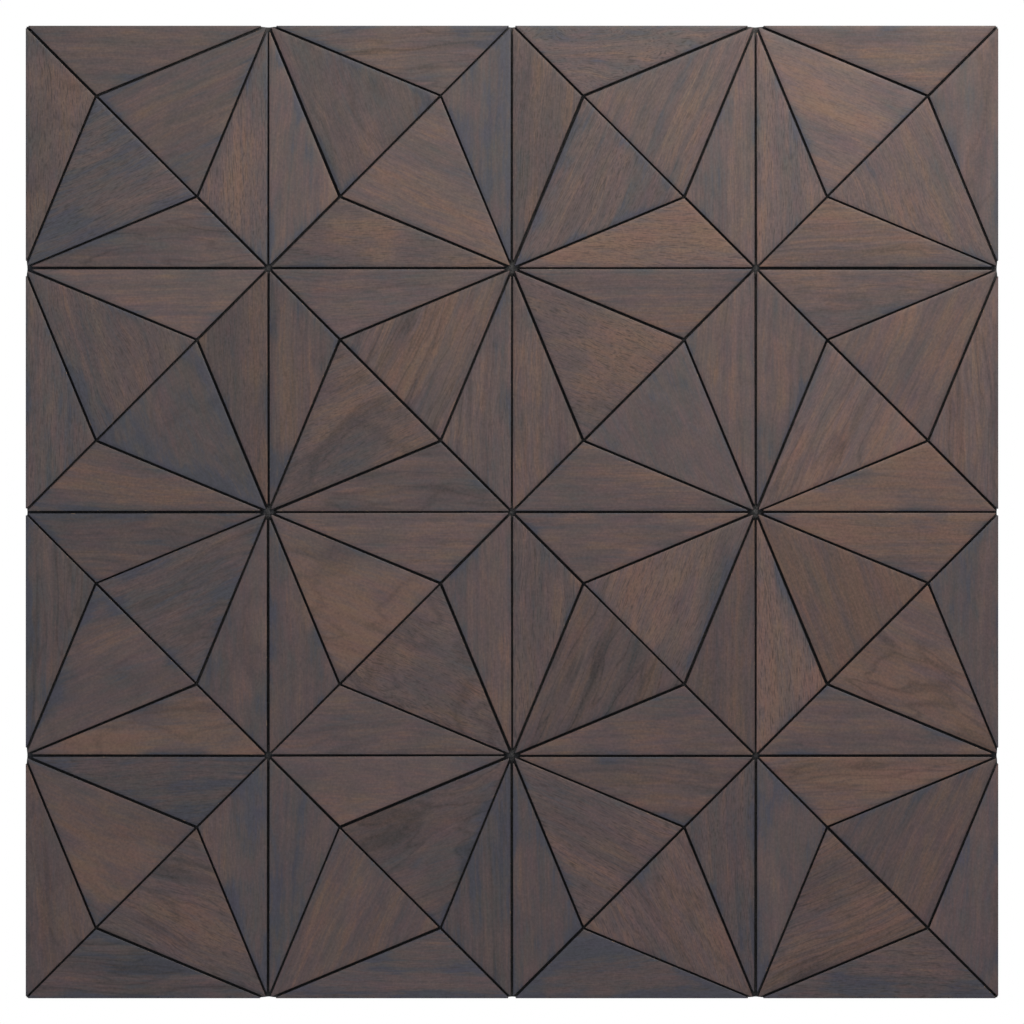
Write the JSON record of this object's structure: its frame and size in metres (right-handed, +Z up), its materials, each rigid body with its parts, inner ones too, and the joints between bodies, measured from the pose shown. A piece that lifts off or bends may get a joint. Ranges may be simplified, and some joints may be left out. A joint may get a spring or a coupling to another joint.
{
  "type": "decorative wall panel",
  "caption": "Square cladding panel of dark smoked walnut triangles, laid with open joints in a mirrored star pattern on a dark felt backing, fixed flat to a wall.",
  "frame": {"origin": "middle of the felt back, in the plane that lies on the wall", "axes": "+Y out of the back into the wall, -Y out of the wooden front, +Z up, +X to the right as seen from the front"},
  "size_m": [0.5986, 0.021, 0.5986],
  "materials": {
    "walnut": "smoked and stained dark brown with blue-grey edges, sanded, satin matt",
    "felt": "dark grey pressed felt, matt"
  },
  "bodies": {
    "root": {"core_tile_r1c1_lower": "walnut", "core_tile_r1c1_upper": "walnut", "core_tile_r1c2_lower": "walnut", "core_tile_r1c2_upper": "walnut", "core_tile_r1c3_lower": "walnut", "core_tile_r1c3_upper": "walnut", "core_tile_r1c4_lower": "walnut", "core_tile_r1c4_upper": "walnut", "core_tile_r2c1_lower": "walnut", "core_tile_r2c1_upper": "walnut", "core_tile_r2c2_lower": "walnut", "core_tile_r2c2_upper": "walnut", "core_tile_r2c3_lower": "walnut", "core_tile_r2c3_upper": "walnut", "core_tile_r2c4_lower": "walnut", "core_tile_r2c4_upper": "walnut", "core_tile_r3c1_lower": "walnut", "core_tile_r3c1_upper": "walnut", "core_tile_r3c2_lower": "walnut", "core_tile_r3c2_upper": "walnut", "core_tile_r3c3_lower": "walnut", "core_tile_r3c3_upper": "walnut", "core_tile_r3c4_lower": "walnut", "core_tile_r3c4_upper": "walnut", "core_tile_r4c1_lower": "walnut", "core_tile_r4c1_upper": "walnut", "core_tile_r4c2_lower": "walnut", "core_tile_r4c2_upper": "walnut", "core_tile_r4c3_lower": "walnut", "core_tile_r4c3_upper": "walnut", "core_tile_r4c4_lower": "walnut", "core_tile_r4c4_upper": "walnut", "edge_tile_r1c1_left": "walnut", "edge_tile_r1c1_top": "walnut", "edge_tile_r1c2_top": "walnut", "edge_tile_r1c3_top": "walnut", "edge_tile_r1c4_right": "walnut", "edge_tile_r1c4_top": "walnut", "edge_tile_r2c1_left": "walnut", "edge_tile_r2c4_right": "walnut", "edge_tile_r3c1_left": "walnut", "edge_tile_r3c4_right": "walnut", "edge_tile_r4c1_bottom": "walnut", "edge_tile_r4c1_left": "walnut", "edge_tile_r4c2_bottom": "walnut", "edge_tile_r4c3_bottom": "walnut", "edge_tile_r4c4_bottom": "walnut", "edge_tile_r4c4_right": "walnut", "felt_backing_with_inner_tiles": "felt", "star_tile_r2c2_bottom": "walnut", "star_tile_r2c2_right": "walnut", "star_tile_r2c3_bottom": "walnut", "star_tile_r2c3_left": "walnut", "star_tile_r3c2_right": "walnut", "star_tile_r3c2_top": "walnut", "star_tile_r3c3_left": "walnut", "star_tile_r3c3_top": "walnut"}
  },
  "joints": []
}
